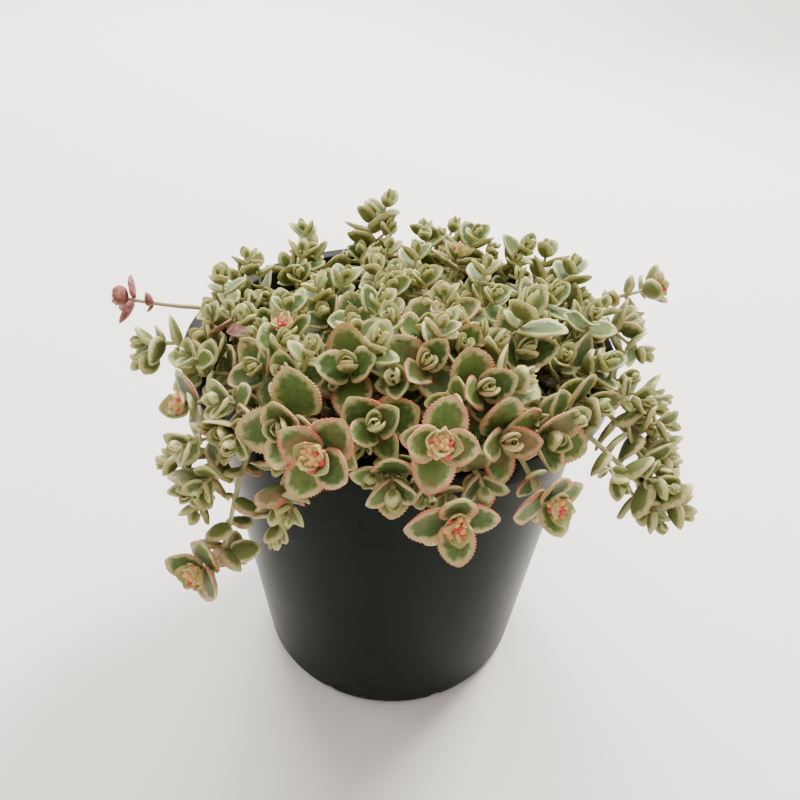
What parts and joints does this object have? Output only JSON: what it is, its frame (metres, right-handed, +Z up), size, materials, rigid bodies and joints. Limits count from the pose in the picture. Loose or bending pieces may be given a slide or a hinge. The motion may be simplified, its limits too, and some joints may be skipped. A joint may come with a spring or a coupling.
{
  "type": "potted sedum",
  "caption": "Small trailing succulent with cream-edged paired leaves and flower-bud heads, growing over the rim of a tapered round nursery pot.",
  "frame": {"origin": "centre of the pot's flat underside", "axes": "+Z up out of the pot's mouth; +X to the right as seen from the side over which most shoots trail, which faces -Y"},
  "size_m": [0.1688, 0.1479, 0.1528],
  "materials": {
    "pot_plastic": "satin black moulded plastic",
    "potting_mix": "dark, damp, peaty mix of bark and fibre",
    "leaf_and_stem": "cream-edged green leaves with pink teeth, tan stems, red and cream buds"
  },
  "bodies": {
    "root": {"pot": "pot_plastic", "potting_mix": "potting_mix", "trailing_shoot_low_left": "leaf_and_stem", "trailing_shoot_right_long": "leaf_and_stem", "trailing_shoot_left": "leaf_and_stem", "trailing_shoot_far_left": "leaf_and_stem", "trailing_shoot_far_right": "leaf_and_stem", "trailing_shoot_right_low": "leaf_and_stem", "trailing_shoot_right": "leaf_and_stem", "shoot_front_12": "leaf_and_stem", "shoot_front_13": "leaf_and_stem", "shoot_front_11": "leaf_and_stem", "shoot_front_14": "leaf_and_stem", "shoot_front_15": "leaf_and_stem", "shoot_front_3": "leaf_and_stem", "shoot_front_8": "leaf_and_stem", "shoot_front_10": "leaf_and_stem", "shoot_left_reaching": "leaf_and_stem", "shoot_left_5": "leaf_and_stem", "shoot_left_6": "leaf_and_stem", "shoot_front_2": "leaf_and_stem", "shoot_front_9": "leaf_and_stem", "shoot_front_7": "leaf_and_stem", "shoot_left_1": "leaf_and_stem", "shoot_left_2": "leaf_and_stem", "shoot_left_3": "leaf_and_stem", "shoot_left_4": "leaf_and_stem", "shoot_left_7": "leaf_and_stem", "shoot_left_8": "leaf_and_stem", "shoot_left_9": "leaf_and_stem", "shoot_front_1": "leaf_and_stem", "shoot_front_4": "leaf_and_stem", "shoot_front_5": "leaf_and_stem", "shoot_front_6": "leaf_and_stem", "shoot_middle_1": "leaf_and_stem", "shoot_middle_2": "leaf_and_stem", "shoot_middle_3": "leaf_and_stem", "shoot_middle_4": "leaf_and_stem", "shoot_middle_5": "leaf_and_stem", "shoot_middle_6": "leaf_and_stem", "shoot_middle_7": "leaf_and_stem", "shoot_middle_8": "leaf_and_stem", "shoot_middle_9": "leaf_and_stem", "shoot_middle_10": "leaf_and_stem", "shoot_middle_11": "leaf_and_stem", "shoot_middle_12": "leaf_and_stem", "shoot_middle_13": "leaf_and_stem", "shoot_back_1": "leaf_and_stem", "shoot_back_2": "leaf_and_stem", "shoot_back_3": "leaf_and_stem", "shoot_back_4": "leaf_and_stem", "shoot_back_5": "leaf_and_stem", "shoot_back_6": "leaf_and_stem", "shoot_back_7": "leaf_and_stem", "shoot_right_1": "leaf_and_stem", "shoot_right_2": "leaf_and_stem", "shoot_right_3": "leaf_and_stem", "shoot_right_4": "leaf_and_stem", "shoot_right_5": "leaf_and_stem", "shoot_right_6": "leaf_and_stem"}
  },
  "joints": []
}
